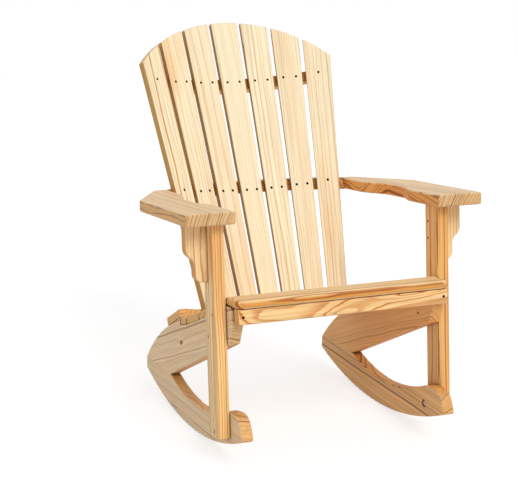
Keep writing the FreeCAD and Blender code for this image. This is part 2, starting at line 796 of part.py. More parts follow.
def make_bracket(name, side):
    """The shaped bracket between the outer face of a leg and the underside of its arm."""
    body, planes = new_body(f"arm_bracket_{name}_body")

    def spot(reach, drop):
        return side * (leg_outer + reach), leg_height - drop

    height, toe, waist = size("bracket_height"), size("bracket_toe"), size("bracket_waist")
    top_of_waist = spot(waist, size("bracket_waist_drop"))
    shoulder = spot(size("bracket_reach"), size("bracket_straight"))
    corners = [
        spot(size("bracket_reach"), 0),
        spot(0, 0),
        spot(0, height),
        spot(waist - toe, height),
        spot(waist, height - toe) + (toe, side),
        top_of_waist,
        *s_curve(top_of_waist, shoulder, -side),
    ]
    outline = draw(body, planes["XZ_Plane"], f"arm_bracket_{name}", corners, -leg_width)
    shape = pad(body, outline, plank)
    under_arm, beside_leg = 1, 2
    showing = [number for number in range(len(corners)) if number not in (under_arm, beside_leg)]
    ease(body, shape, size("board_round"), drawn_edges("xz", corners, showing))
    finish(f"arm_bracket_{name}", body)


def rocker_corners():
    """The side outline of a rocker, from the tip of its nose."""
    radius = size("rocker_radius")

    def on_floor_curve(y):
        offset = y - size("rocker_middle")
        return y, rocker_centre - root(radius * radius - offset * offset)

    nose_y = size("nose_set") - size("rocker_nose")
    top = size("nose_height")
    curl, brow = size("nose_sweep"), size("brow_sweep")
    nose, ease_radius = size("nose_round"), size("brow_radius")
    return [
        on_floor_curve(-size("rocker_nose")),
        on_floor_curve(size("rocker_tail")) + (radius, 1),
        (size("joint_rear"), size("joint_rear_height")),
        (size("joint_front"), size("joint_front_height")),
        (nose_y + ease_radius * sine(brow), top - ease_radius + ease_radius * cosine(brow),
         size("sweep_radius"), -1),
        (nose_y, top, ease_radius, 1),
        (nose_y - nose * sine(curl), top - nose + nose * cosine(curl), nose, 1),
    ]


def make_rocker(name, side):
    """A rocker: a long curve on the floor, a round nose and a hollow top edge up to the joint."""
    body, planes = new_body(f"rocker_{name}_body")
    low, high = (side_inner, leg_inner) if side > 0 else (-leg_inner, -side_inner)
    corners = rocker_corners()
    shape = pad(body, draw(body, planes["YZ_Plane"], f"rocker_{name}", corners, low), plank)
    shape = ease(body, shape, size("nose_tip_round"), upright_edge("yz", corners[0]))
    on_face = broad_edges("x", low, high)
    under_stringer = drawn_edges("yz", corners, [3])
    ease(body, shape, size("plank_round"),
         lambda middle, edge: on_face(middle, edge) and not under_stringer(middle, edge))
    finish(f"rocker_{name}", body)


def make_stringer(name, side):
    """The sloping side under the seat: facets for the seat boards, a ledge for the lowest rail."""
    body, planes = new_body(f"stringer_{name}_body")
    low, high = (side_inner, leg_inner) if side > 0 else (-leg_inner, -side_inner)
    front = -plank
    top = size("seat_height")
    lip = size("tail_lip")
    corners = [
        (front, top - size("stringer_front_depth")),
        (front + size("chin_back"), top - size("chin_drop")),
        (size("joint_front"), size("joint_front_height")),
        (size("joint_rear"), size("joint_rear_height")),
        (size("joint_rear") - lip, size("joint_rear_height") + lip),
        ledge_rear + (size("tail_curve"), 1),
        ledge_front,
        (step_y, step_z),
        *reversed(facets),
        (front, top),
    ]
    shape = pad(body, draw(body, planes["YZ_Plane"], f"stringer_{name}", corners, low), plank)
    chin, underside, tail_end, tail = 1, 2, 4, 5
    ease(body, shape, size("plank_round"), drawn_edges("yz", corners, [chin, underside, tail_end, tail]))
    finish(f"stringer_{name}", body)


def make_apron():
    """The board across the front ends of the stringers."""
    body, planes = new_body("apron_body")
    half = leg_inner - size("apron_end")
    low, high = size("seat_height") - size("apron_height"), size("seat_height")
    corners = [(-half, low), (half, low), (half, high), (-half, high)]
    shape = pad(body, draw(body, planes["XZ_Plane"], "apron", corners, plank), plank)
    ease(body, shape, size("plank_round"), all_edges)
    finish("apron", body)


seat_half = keep("seat_half", leg_inner - size("seat_play"))


def make_front_board():
    """The first seat board, with a round front edge that overhangs the apron."""
    body, planes = new_body("seat_board_1_body")
    nose = -size("front_board_nose")
    rear = size("front_board") + nose
    corner = size("front_board_corner")
    corners = [
        (-seat_half, nose + corner),
        (corner - seat_half, nose, corner, 1),
        (seat_half - corner, nose),
        (seat_half, nose + corner, corner, 1),
        (seat_half, rear),
        (-seat_half, rear),
    ]
    shape = pad(body, draw(body, planes["XY_Plane"], "seat_board_1", corners, size("seat_height")), board)
    on_face = broad_edges("z", size("seat_height"), size("seat_height") + board)
    ease(body, shape, size("front_board_round"),
         lambda middle, edge: on_face(middle, edge) and middle.y < rear.value - NEAR)
    finish("seat_board_1", body)


def make_seat_board(number, facet, slope):
    """A full seat board on one facet of the stringers."""
    body, planes = new_body(f"seat_board_{number}_body")
    near = size("seat_gap") / 2
    far = near + size("seat_board")
    corners = [(-seat_half, near), (seat_half, near), (seat_half, far), (-seat_half, far)]
    shape = pad(body, draw(body, planes["XY_Plane"], f"seat_board_{number}", corners), board)
    ease(body, shape, size("board_round"), all_edges)
    finish(f"seat_board_{number}", body, facet_frame(facet, slope))


def make_last_board():
    """The last seat board, sawn round at the back to follow the hollow of the slats."""
    body, planes = new_body("seat_board_5_body")
    near = size("seat_gap") / 2
    # where the middle slat's front face crosses the board's underside, along the board
    back_y, back_z = size("back_set") - last_facet_y, size("back_height") - last_facet_z
    closing = last_slope_cosine * recline_cosine + last_slope_sine * recline_sine
    crossing = keep("crossing", (back_y * recline_cosine - back_z * recline_sine) / closing)
    bulge = keep("bulge", crossing - size("seat_end_gap") - wing_end)
    radius = keep("last_board_radius", (fan_reach - size("slat_foot")) * fan_sine)
    chord = keep("last_board_chord", root(2 * radius * bulge - bulge * bulge))
    corners = [
        (-seat_half, near),
        (seat_half, near),
        (seat_half, wing_end),
        (chord, wing_end),
        (-chord, wing_end, radius, 1),
        (-seat_half, wing_end),
    ]
    shape = pad(body, draw(body, planes["XY_Plane"], "seat_board_5", corners), board)
    on_face = broad_edges("z", as_size(0), board)
    ease(body, shape, size("board_round"),
         lambda middle, edge: on_face(middle, edge) and middle.y < wing_end.value - NEAR)
    finish("seat_board_5", body, facet_frame(facets[-1], "seat_slope_last"))


def back_cone(name, low, high):
    """The hollow that the slats' backs leave in a rail: a cone through their rear edges."""
    ends = []
    for label, rise in (("low", low), ("high", high)):
        reach = fan_reach + rise
        half = (size("slat_width") + rise * size("slat_taper")) / 2 - size("board_round")
        across = reach * fan_sine + board * fan_cosine
        ends.append((keep(f"{name}_{label}_radius", root(across * across + half * half) + size("fit")),
                     keep(f"{name}_{label}_along", reach * fan_cosine - board * fan_sine)))
    cone = doc.addObject("Part::Cone", name)
    cone.setExpression("Radius1", ends[0][0].formula)
    cone.setExpression("Radius2", ends[1][0].formula)
    cone.setExpression("Height", (ends[1][1] - ends[0][1]).formula)
    point = place(0, fan_y, fan_z, (X_AXIS, size("fan_angle") - size("recline")))
    cone.setExpression("Placement", f"{point} * {place(0, 0, ends[0][1])}")
    return cone


def bowed_outline(half, rear_end, rear_middle):
    """A rail's blank: straight in front, bowed behind."""
    rise = rear_middle - rear_end
    radius = (half * half + rise * rise) / (2 * rise)
    front = rear_end - size("rail_blank")
    return [(-half, front), (half, front), (half, rear_end), (-half, rear_end, radius, 1)]


def make_upper_rail():
    """The rail behind the upper screws, square to the slats."""
    body, planes = new_body("back_rail_upper_body")
    low = size("upper_rail_rise") - plank / 2
    outline = bowed_outline(upper_rail_half, upper_rail_end, board + size("upper_rail_depth"))
    shape = pad(body, draw(body, planes["XY_Plane"], "back_rail_upper", outline, low), plank)
    ease(body, shape, size("board_round"), lambda middle, edge: middle.y > upper_rail_end.value + NEAR)
    cut_from(["back_rail_upper"], back_cone("upper_hollow", low - plank, low + 2 * plank))
    finish("back_rail_upper", body, BACK)


def make_middle_rail():
    """The rail that ties the arms together behind the back, level with them."""
    body, planes = new_body("back_rail_middle_body")
    outline = bowed_outline(size("middle_rail_half"), middle_rail_rear,
                            middle_slat_back + size("middle_rail_depth"))
    shape = pad(body, draw(body, planes["XY_Plane"], "back_rail_middle", outline, leg_height), plank)
    ease(body, shape, size("board_round"), lambda middle, edge: middle.y > middle_rail_rear.value + NEAR)
    cone = back_cone("middle_hollow", middle_rise - 3 * plank, middle_rise + 3 * plank)
    cut_from(["back_rail_middle"], cone)
    finish("back_rail_middle", body)


def make_lower_rail():
    """The broad rail on the stringers' ledges, behind the feet of the slats."""
    body, planes = new_body("back_rail_lower_body")
    front, rear = -size("lower_rail_front"), size("lower_rail_rear")
    corners = [(-leg_inner, front), (leg_inner, front), (leg_inner, rear), (-leg_inner, rear)]
    low = -size("lower_rail_drop")
    shape = pad(body, draw(body, planes["XY_Plane"], "back_rail_lower", corners, low), board)
    ease(body, shape, size("board_round"), lambda middle, edge: middle.y > rear.value - NEAR)
    cut_from(["back_rail_lower"], back_cone("lower_hollow", low - board, low + 2 * board))
    finish("back_rail_lower", body, BACK)


def head_corner(step, side, name):
    """Where a slat's long edge meets the round head of the back: half width, and reach up the slat."""
    turn = step * size("slat_turn")
    turn_sine, turn_cosine = keep(f"{name}_sine", sine(turn)), keep(f"{name}_cosine", cosine(turn))
    widening = side * size("slat_taper") / 2
    start = keep(f"{name}_start", side * (size("slat_width") - size("slat_taper") * fan_reach) / 2)
    # distance across the back and up the back, each a rate times the reach plus a start
    across_rate = keep(f"{name}_across_rate", fan_sine * turn_sine + widening * turn_cosine)
    across = keep(f"{name}_across", start * turn_cosine)
    up_rate = keep(
        f"{name}_up_rate",
        fan_cosine * fan_cosine + fan_sine * (fan_sine * turn_cosine - widening * turn_sine))
    up = keep(f"{name}_up", -(start * turn_sine * fan_sine) - fan_reach - size("head_middle"))
    # the reach at which that point lies on the head's circle
    square = keep(f"{name}_square", across_rate * across_rate + up_rate * up_rate)
    mixed = keep(f"{name}_mixed", across_rate * across + up_rate * up)
    rest = keep(f"{name}_rest", across * across + up * up - size("head_radius") * size("head_radius"))
    reach = keep(f"{name}_reach", (root(mixed * mixed - square * rest) - mixed) / square)
    return start + widening * reach, reach


def make_slat(number, step):
    """A back slat: narrow at the foot, wide at the head, its top on the back's round outline."""
    body, planes = new_body(f"back_slat_{number}_body")
    foot = fan_reach - size("slat_foot")
    half = (size("slat_width") - size("slat_taper") * size("slat_foot")) / 2
    corners = [
        (-half, foot),
        (half, foot),
        head_corner(step, 1, f"slat_{number}_right"),
        head_corner(step, -1, f"slat_{number}_left") + (size("head_radius"), 1),
    ]
    shape = pad(body, draw(body, planes["XY_Plane"], f"back_slat_{number}", corners), board, backward=True)
    ease(body, shape, size("board_round"), broad_edges("z", as_size(0), -board))
    finish(f"back_slat_{number}", body, slat_frame(step))


for side_name, side_sign in SIDES.items():
    make_leg(side_name, side_sign)
    make_arm(side_name, side_sign)
    make_bracket(side_name, side_sign)
    make_rocker(side_name, side_sign)
    make_stringer(side_name, side_sign)
make_apron()
make_front_board()
for seat_row in SEAT_ROWS:
    make_seat_board(*seat_row)
make_last_board()
make_upper_rail()
make_middle_rail()
make_lower_rail()
for slat_number, slat_step in enumerate(SLAT_STEPS, start=1):
    make_slat(slat_number, slat_step)
doc.recompute()


def check_document():
    """Stop before anything is written if a sketch, feature or finished piece is not sound."""
    for item in doc.Objects:
        if "Invalid" in item.State or "Error" in item.State:
            raise RuntimeError(f"{item.Label} failed: {item.State}")
    for alias, number in worked_sizes.items():
        if abs(float(worked.get(alias)) - number) > 1e-6 * max(1.0, abs(number)):
            raise RuntimeError(f"{alias} differs between the sheet and the script")
    for node, item in finished.items():
        if item.Shape.isNull() or not item.Shape.isValid():
            raise RuntimeError(f"{node} has no valid shape")


check_document()
os.makedirs("parts", exist_ok=True)
for finished_node, finished_item in finished.items():
    finished_item.Shape.exportStep(f"parts/{finished_node}.step")
    solids = finished_item.Shape.Solids
    print(f"{finished_node}: {len(solids)} solid(s), {sum(s.Volume for s in solids) / 1000:.1f} cm3")
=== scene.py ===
# %% [markdown]
# # Dressing a garden rocking chair in pine
#
# The chair is made of flat boards and screws, and its solids already have the right shape: the fan of
# the back, the hollow of the arms and the long curve of the rockers. What is left for Blender is the
# wood. The lesson starts with the tools and the finished solids, which are loaded as a fixed frame.

import math

import bpy
from mathutils import Matrix, Vector


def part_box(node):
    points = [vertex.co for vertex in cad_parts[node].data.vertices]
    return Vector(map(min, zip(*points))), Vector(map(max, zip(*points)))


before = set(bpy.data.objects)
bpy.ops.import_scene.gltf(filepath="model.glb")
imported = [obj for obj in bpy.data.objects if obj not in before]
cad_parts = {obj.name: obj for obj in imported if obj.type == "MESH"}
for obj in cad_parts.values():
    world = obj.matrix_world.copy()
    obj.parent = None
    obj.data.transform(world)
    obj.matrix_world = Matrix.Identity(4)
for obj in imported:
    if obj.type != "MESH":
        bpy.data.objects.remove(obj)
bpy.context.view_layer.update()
print("nodes loaded:", len(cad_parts))

# %% [markdown]
# ## How the chair stands
#
# A rocking chair has no level board when nobody sits in it. It leans back until its centre of mass is
# over the point where the rockers touch the floor. The boards are easier to describe in the chair's own
# square frame, where the legs are upright: Y = 0 at the front of the legs and Z = 0 at their feet. One
# matrix then leans everything, by turning it about the centre of the rockers' long curve.

# %% From the chair's square frame to the floor
LEAN = math.radians(5.31)
curve_centre = Vector((0, 0.2415, 0.9174))
centre_over_floor = Vector((0, -0.0289, 0.9607))
LEANING = (Matrix.Translation(centre_over_floor) @ Matrix.Rotation(-LEAN, 4, "X")
           @ Matrix.Translation(-curve_centre))
print("a leg's foot on the floor plan:", [round(part, 3) for part in LEANING @ Vector((0.267, 0, 0))])

# %% [markdown]
# ## The camera
#
# The picture is taken from the front, a little to one side and above the seat. The three turns and the
# long lens were found by fitting corners of the boards to the same corners in the picture, which is
# 518 by 493 pixels. They are given in the square frame too, so the camera leans with the chair.

# %% The camera
PICTURE_WIDTH = 518                        # pixels
FOCAL_LENGTH = 1479.9                      # pixels
OFF_CENTRE = (3.6, 3.7)                    # pixels, across and up
CAMERA_TURNS = (21.35, 8.60, -1.75)        # degrees
CAMERA_PLACE = (-1.3836, -3.0441, 0.9195)  # metres
yaw, pitch, roll = (math.radians(turn) for turn in CAMERA_TURNS)
forward = Vector((math.sin(yaw) * math.cos(pitch), math.cos(yaw) * math.cos(pitch), -math.sin(pitch)))
level_right = Vector((math.cos(yaw), -math.sin(yaw), 0))
level_up = level_right.cross(forward)
right = math.cos(roll) * level_right + math.sin(roll) * level_up
up = math.cos(roll) * level_up - math.sin(roll) * level_right
aim = Matrix((right, up, -forward)).transposed().to_4x4()
camera = bpy.data.objects.new("camera", bpy.data.cameras.new("camera"))
bpy.context.scene.collection.objects.link(camera)
camera.matrix_world = LEANING @ Matrix.Translation(CAMERA_PLACE) @ aim
camera.data.sensor_width = 36
camera.data.lens = FOCAL_LENGTH / PICTURE_WIDTH * camera.data.sensor_width
camera.data.shift_x, camera.data.shift_y = (part / PICTURE_WIDTH for part in OFF_CENTRE)
bpy.context.scene.camera = camera
print("focal length in mm:", round(camera.data.lens, 1))

# %% [markdown]
# ## Small helpers for node trees
#
# Every finish below is a tree of nodes. A few short helpers keep the wiring readable: one starts a
# material, one adds a node and fills its inputs with numbers or with other nodes' outputs, and one does
# a single step of arithmetic.

# %% Helpers for nodes
def fill_inputs(tree, node, inputs):
    """Wire a node's inputs to other nodes' outputs, or fill them with values."""
    for name, value in inputs.items():
        if isinstance(value, bpy.types.NodeSocket):
            tree.links.new(value, node.inputs[name])
        else:
            node.inputs[name].default_value = value


def add_node(tree, kind, inputs=None, **settings):
    """Add a node, set it up and fill its inputs."""
    node = tree.nodes.new(kind)
    for name, value in settings.items():
        setattr(node, name, value)
    fill_inputs(tree, node, inputs or {})
    return node


def new_material(name):
    """A material with an empty tree, and that tree."""
    material = bpy.data.materials.new(name)
    material.use_nodes = True
    material.node_tree.nodes.clear()
    return material, material.node_tree


def calc(tree, operation, *values):
    """One step of arithmetic on numbers or outputs."""
    return add_node(tree, "ShaderNodeMath", dict(enumerate(values)), operation=operation).outputs[0]


def ramp(tree, value, start, end):
    """A soft step from 0 to 1 while value goes from start to end."""
    inputs = {"Value": value, "From Min": start, "From Max": end}
    return add_node(tree, "ShaderNodeMapRange", inputs, interpolation_type="SMOOTHSTEP").outputs["Result"]


def blend(tree, amount, first, second, blend_type="MIX"):
    """Mix two colours."""
    inputs = {"Factor": amount, 6: first, 7: second}
    return add_node(tree, "ShaderNodeMix", inputs, data_type="RGBA", blend_type=blend_type).outputs[2]


def stretched_noise(tree, place, stretch, shift, detail=2.0):
    """Noise with a size of its own along each axis: stretch is in waves for each millimetre."""
    inputs = {0: place, 1: stretch, 2: shift}
    spot = add_node(tree, "ShaderNodeVectorMath", inputs, operation="MULTIPLY_ADD").outputs[0]
    return add_node(tree, "ShaderNodeTexNoise", {"Vector": spot, "Scale": 1.0, "Detail": detail})


def srgb(red, green, blue):
    """A colour as it is seen, from 0 to 255, turned into the light values that shaders use."""
    def light(part):
        part /= 255
        return part / 12.92 if part <= 0.04045 else ((part + 0.055) / 1.055) ** 2.4
    return (light(red), light(green), light(blue), 1.0)


def named_sockets(tree, direction, sockets):
    """Give a node group its inputs or outputs, from names and default values."""
    for name, value in sockets.items():
        parts = len(value) if isinstance(value, tuple) else 1
        kind = {1: "NodeSocketFloat", 3: "NodeSocketVector", 4: "NodeSocketColor"}[parts]
        tree.interface.new_socket(name, in_out=direction, socket_type=kind).default_value = value


# %% [markdown]
# ## What pine looks like
#
# A pine trunk grows a pale, soft layer each spring and a thin dark one each summer. A board cut near the
# middle of the trunk shows these rings as broad arches, one cut further out as straight stripes, and
# every sawn end shows them as arcs. A flat picture of grain could not agree on all six sides of a board,
# so the rings are made in space: each board knows where the middle of its trunk was, and a point's
# colour depends on its distance from there. The group below works in millimetres in a board's own
# frame: X across the board, Y through it, Z along the grain.

# %% How fine the wood's patterns are
# waves for each millimetre: across the board, through it and along the grain
STRAY_WAVES = (0.006, 0.006, 0.0016)    # the trunk's slow wandering
RIPPLE_WAVES = (0.035, 0.035, 0.007)    # ripples of its rings
CLOUD_WAVES = (0.02, 0.02, 0.0022)      # warm patches
STRIP_WAVES = (0.17, 0.17, 0.0035)      # paler and darker strips
FIBRE_WAVES = (0.75, 0.75, 0.011)       # bundles of fibres
FLECK_WAVES = (1.3, 1.3, 0.05)          # short dark flecks
SAW_WAVES = (0.9, 0.25, 0.9)            # marks of the saw on the ends
RIPPLE_DEPTH = 5.0                      # millimetres
FIBRE_SHADE = 0.34                      # share of the light that a pattern can take away
FLECK_SHADE = 0.10

# %% The rings of one board
pine = bpy.data.node_groups.new("pine_board", "ShaderNodeTree")
named_sockets(pine, "INPUT", {
    "Place": (0.0, 0.0, 0.0),       # in the board's frame, in millimetres
    "Grain": (0.0, 0.0, 1.0),       # direction of the grain
    "Face": (0.0, 1.0, 0.0),        # direction out of the broad face
    "Heart Across": 120.0,          # where the middle of the trunk was
    "Heart Deep": -60.0,
    "Drift Across": 0.0,            # how far the trunk's middle slants, for each millimetre of length
    "Drift Deep": 0.0,
    "Ring": 5.0,                    # width of a ring
    "Wander": 8.0,                  # how far the rings stray on their way along the board
    "Contrast": 1.0,
    "Summer": 0.5,                  # the share of a year after which its dark layer starts
    "Streak": 0.4,                  # how uneven the wood is from one strip to the next
    "Warmth": 0.3,
    "Seed": 0.0,
    "Push": 0.0,                    # how far a knot pushes the rings aside
    "Knot": 0.0,                    # 1 inside a knot
    "Early": (0.9, 0.8, 0.6, 1.0),
    "Late": (0.6, 0.4, 0.2, 1.0),
    "Edge": (0.9, 0.8, 0.6, 1.0),   # tint of the narrow edges
    "End": (0.9, 0.8, 0.6, 1.0),    # tint of the sawn ends
})
named_sockets(pine, "OUTPUT", {"Colour": (0.8, 0.8, 0.8, 1.0), "Roughness": 0.5, "Height": 0.0})
given = add_node(pine, "NodeGroupInput").outputs
result = add_node(pine, "NodeGroupOutput").inputs

shift = add_node(pine, "ShaderNodeCombineXYZ", {
    "X": calc(pine, "MULTIPLY", given["Seed"], 13.7),
    "Y": calc(pine, "MULTIPLY", given["Seed"], 7.1),
    "Z": calc(pine, "MULTIPLY", given["Seed"], 3.3)}).outputs[0]
stray = stretched_noise(pine, given["Place"], STRAY_WAVES, shift)
stray_way = add_node(pine, "ShaderNodeVectorMath", {0: stray.outputs["Color"], 1: (0.5, 0.5, 0.5)},
                     operation="SUBTRACT").outputs[0]
strayed = add_node(pine, "ShaderNodeVectorMath", {
    0: stray_way,
    1: add_node(pine, "ShaderNodeCombineXYZ", {"X": given["Wander"], "Y": given["Wander"]}).outputs[0],
    2: given["Place"]}, operation="MULTIPLY_ADD").outputs[0]
place_parts = add_node(pine, "ShaderNodeSeparateXYZ", {"Vector": strayed}).outputs


def from_heart(axis, start, slant):
    """Distance from the middle of the trunk along one axis."""
    moved = calc(pine, "MULTIPLY_ADD", place_parts["Z"], given[slant], given[start])
    return calc(pine, "SUBTRACT", place_parts[axis], moved)


far_across = from_heart("X", "Heart Across", "Drift Across")
far_deep = from_heart("Y", "Heart Deep", "Drift Deep")
squares = calc(pine, "ADD", calc(pine, "MULTIPLY", far_across, far_across),
               calc(pine, "MULTIPLY", far_deep, far_deep))
ripple = stretched_noise(pine, given["Place"], RIPPLE_WAVES, shift, 3.0).outputs["Fac"]
distance = calc(pine, "ADD", calc(pine, "SQRT", squares),
                calc(pine, "MULTIPLY_ADD", ripple, RIPPLE_DEPTH, given["Push"]))
years = calc(pine, "DIVIDE", distance, given["Ring"])
# good and poor years make broad and narrow rings
luck = add_node(pine, "ShaderNodeTexNoise", {"W": calc(pine, "MULTIPLY_ADD", years, 0.37, given["Seed"]),
                                             "Scale": 1.0, "Detail": 1.0}, noise_dimensions="1D")
years = calc(pine, "MULTIPLY_ADD", luck.outputs["Fac"], 2.6, years)
season = calc(pine, "FRACT", years)

# %% [markdown]
# ### From rings to colour
#
# Within one year the colour darkens slowly towards summer and then falls back at once, which gives each
# line one soft and one sharp side. Some years are darker than others. Very fine fibres run along the
# board, sawn ends drink more oil and show the rings more strongly, and the narrow edges of a board look
# a little warmer than its broad faces.

# %% Colour, shine and relief
year = calc(pine, "FLOOR", years)
draw = calc(pine, "MULTIPLY_ADD", given["Seed"], 17.0, year)
chance = add_node(pine, "ShaderNodeTexWhiteNoise", {"W": draw}, noise_dimensions="1D").outputs
summer_start = calc(pine, "MULTIPLY_ADD", chance["Value"], 0.25, given["Summer"])
summer = calc(pine, "MULTIPLY", ramp(pine, season, summer_start, 0.9),
              calc(pine, "SUBTRACT", 1.0, ramp(pine, season, 0.93, 1.0)))
depth_of_year = add_node(pine, "ShaderNodeSeparateColor", {"Color": chance["Color"]}).outputs["Green"]
summer = calc(pine, "MULTIPLY", summer, calc(pine, "MULTIPLY_ADD", depth_of_year, 0.6, 0.4))

outward = add_node(pine, "ShaderNodeNewGeometry").outputs["Normal"]


def facing(direction):
    """How squarely the surface faces along a direction, either way round."""
    dot = add_node(pine, "ShaderNodeVectorMath", {0: outward, 1: direction}, operation="DOT_PRODUCT")
    return calc(pine, "ABSOLUTE", dot.outputs["Value"])


sawn_end = ramp(pine, facing(given["Grain"]), 0.35, 0.9)
broad = ramp(pine, facing(given["Face"]), 0.3, 0.8)
narrow = calc(pine, "MAXIMUM", calc(pine, "SUBTRACT", calc(pine, "SUBTRACT", 1.0, broad), sawn_end), 0.0)

dark = calc(pine, "MULTIPLY", calc(pine, "MULTIPLY", summer, given["Contrast"]),
            calc(pine, "MULTIPLY_ADD", sawn_end, 0.4, 1.0))
dark = calc(pine, "MINIMUM", dark, 1.0)
colour = blend(pine, dark, given["Early"], given["Late"])

cloud = stretched_noise(pine, given["Place"], CLOUD_WAVES, shift, 3.0).outputs["Fac"]
warm = calc(pine, "MULTIPLY", ramp(pine, cloud, 0.45, 0.7), given["Warmth"])
colour = blend(pine, warm, colour, blend(pine, 1.0, colour, srgb(250, 214, 178), "MULTIPLY"))
colour = blend(pine, narrow, colour, blend(pine, 1.0, colour, given["Edge"], "MULTIPLY"))
colour = blend(pine, sawn_end, colour, blend(pine, 1.0, colour, given["End"], "MULTIPLY"))

fibre = stretched_noise(pine, given["Place"], FIBRE_WAVES, shift, 4.0).outputs["Fac"]
fibre_shade = calc(pine, "MULTIPLY_ADD", fibre, FIBRE_SHADE, 1 - FIBRE_SHADE / 2)
fleck = stretched_noise(pine, given["Place"], FLECK_WAVES, shift, 1.0).outputs["Fac"]
fleck_shade = calc(pine, "MULTIPLY_ADD", ramp(pine, fleck, 0.66, 0.74), -FLECK_SHADE, 1.0)
fibre_shade = calc(pine, "MULTIPLY", fibre_shade, fleck_shade)
strips = stretched_noise(pine, given["Place"], STRIP_WAVES, shift).outputs["Fac"]
strips = calc(pine, "MULTIPLY", calc(pine, "SUBTRACT", strips, 0.5), given["Streak"])
fibre_shade = calc(pine, "MULTIPLY", fibre_shade, calc(pine, "ADD", strips, 1.0))
colour = add_node(pine, "ShaderNodeVectorMath", {0: colour, "Scale": fibre_shade}, operation="SCALE").outputs[0]
knot_wood = blend(pine, calc(pine, "MULTIPLY_ADD", summer, 0.5, 0.35), srgb(150, 96, 56), srgb(92, 54, 30))
colour = blend(pine, given["Knot"], colour, knot_wood)
pine.links.new(colour, result["Colour"])

rough = calc(pine, "MULTIPLY_ADD", fibre, 0.22, calc(pine, "MULTIPLY_ADD", summer, -0.10, 0.46))
rough = calc(pine, "MULTIPLY_ADD", sawn_end, 0.12, rough)
pine.links.new(rough, result["Roughness"])
saw_marks = stretched_noise(pine, given["Place"], SAW_WAVES, shift).outputs["Fac"]
relief = calc(pine, "MULTIPLY_ADD", summer, 0.5, fibre)
relief = calc(pine, "MULTIPLY_ADD", calc(pine, "MULTIPLY", saw_marks, sawn_end), 0.8, relief)
pine.links.new(relief, result["Height"])
print("nodes in the wood:", len(pine.nodes))

# %% [markdown]
# ### Knots
#
# A knot is the foot of a branch that the trunk grew around. The rings bend round it like water round a
# pole, so it is not enough to paint a dark spot: this second group also tells the first one how far to
# push its rings aside. A knot is longer along the grain than across it.

# %% A knot
knot = bpy.data.node_groups.new("pine_knot", "ShaderNodeTree")
named_sockets(knot, "INPUT", {"Place": (0.0, 0.0, 0.0), "Centre": (0.0, 0.0, 0.0), "Size": 8.0})
named_sockets(knot, "OUTPUT", {"Push": 0.0, "Knot": 0.0})
knot_given = add_node(knot, "NodeGroupInput").outputs
knot_result = add_node(knot, "NodeGroupOutput").inputs
away = add_node(knot, "ShaderNodeVectorMath", {0: knot_given["Place"], 1: knot_given["Centre"]},
                operation="SUBTRACT").outputs[0]
away = add_node(knot, "ShaderNodeVectorMath", {0: away, 1: (1.0, 0.0, 0.55)}, operation="MULTIPLY").outputs[0]
gap = add_node(knot, "ShaderNodeVectorMath", {0: away}, operation="LENGTH").outputs["Value"]
uneven = stretched_noise(knot, knot_given["Place"], (0.15, 0.15, 0.15), (3.0, 5.0, 7.0)).outputs["Fac"]
share = calc(knot, "DIVIDE", calc(knot, "MULTIPLY_ADD", uneven, 3.0, gap), knot_given["Size"])
hill = calc(knot, "EXPONENT", calc(knot, "MULTIPLY", calc(knot, "MULTIPLY", share, share), -0.22))
knot.links.new(calc(knot, "MULTIPLY", calc(knot, "MULTIPLY", hill, 2.2), knot_given["Size"]),
               knot_result["Push"])
knot.links.new(calc(knot, "SUBTRACT", 1.0, ramp(knot, share, 0.85, 1.15)), knot_result["Knot"])

# %% [markdown]
# ## One finish for each board
#
# Two boards of the same chair never have the same grain. Each board gets a material of its own, which
# turns the object's coordinates into the board's frame with a Mapping node and then chooses where the
# heart of the trunk was, how wide the rings are and how dark. A tint is a pair of colours, for the spring
# layer and the summer layer: pale cream on the back, honey on the seat, tan on the arms, a bold flame on
# the apron. In the narrow gaps and corners where boards meet, the tree paints shade into the colour: it
# darkens a point by how little open air there is within a centimetre of it.

# %% Tints, and a material for one board
TINTS = {
    "cream": (srgb(252, 235, 199), srgb(204, 154, 88)),
    "honey": (srgb(251, 216, 160), srgb(190, 120, 52)),
    "amber": (srgb(246, 200, 138), srgb(172, 100, 40)),
    "tan": (srgb(242, 212, 170), srgb(160, 106, 62)),
    "brown": (srgb(246, 198, 138), srgb(108, 58, 24)),
    "russet": (srgb(252, 196, 132), srgb(160, 92, 44)),
    "flame": (srgb(250, 208, 146), srgb(204, 116, 36)),
}
LOOKS = {
    "heart": (120, -60), "drift": (0, 0), "ring": 5.0, "wander": 16.0, "contrast": 0.8, "summer": 0.5,
    "streak": 0.4, "warmth": 0.3, "edge": srgb(240, 214, 172), "end": srgb(238, 224, 200)}
# the next two numbers set the painted shade in gaps and corners: how far it reaches and how dark it gets
PAINTED_SHADE_REACH = 0.010       # metres
PAINTED_GAP_SHADE = 0.45        # what is left of the colour in the depth of a gap
SEED_STEP = 1.7
MILLIMETRES = 1000.0    # in a metre
finished_boards = []


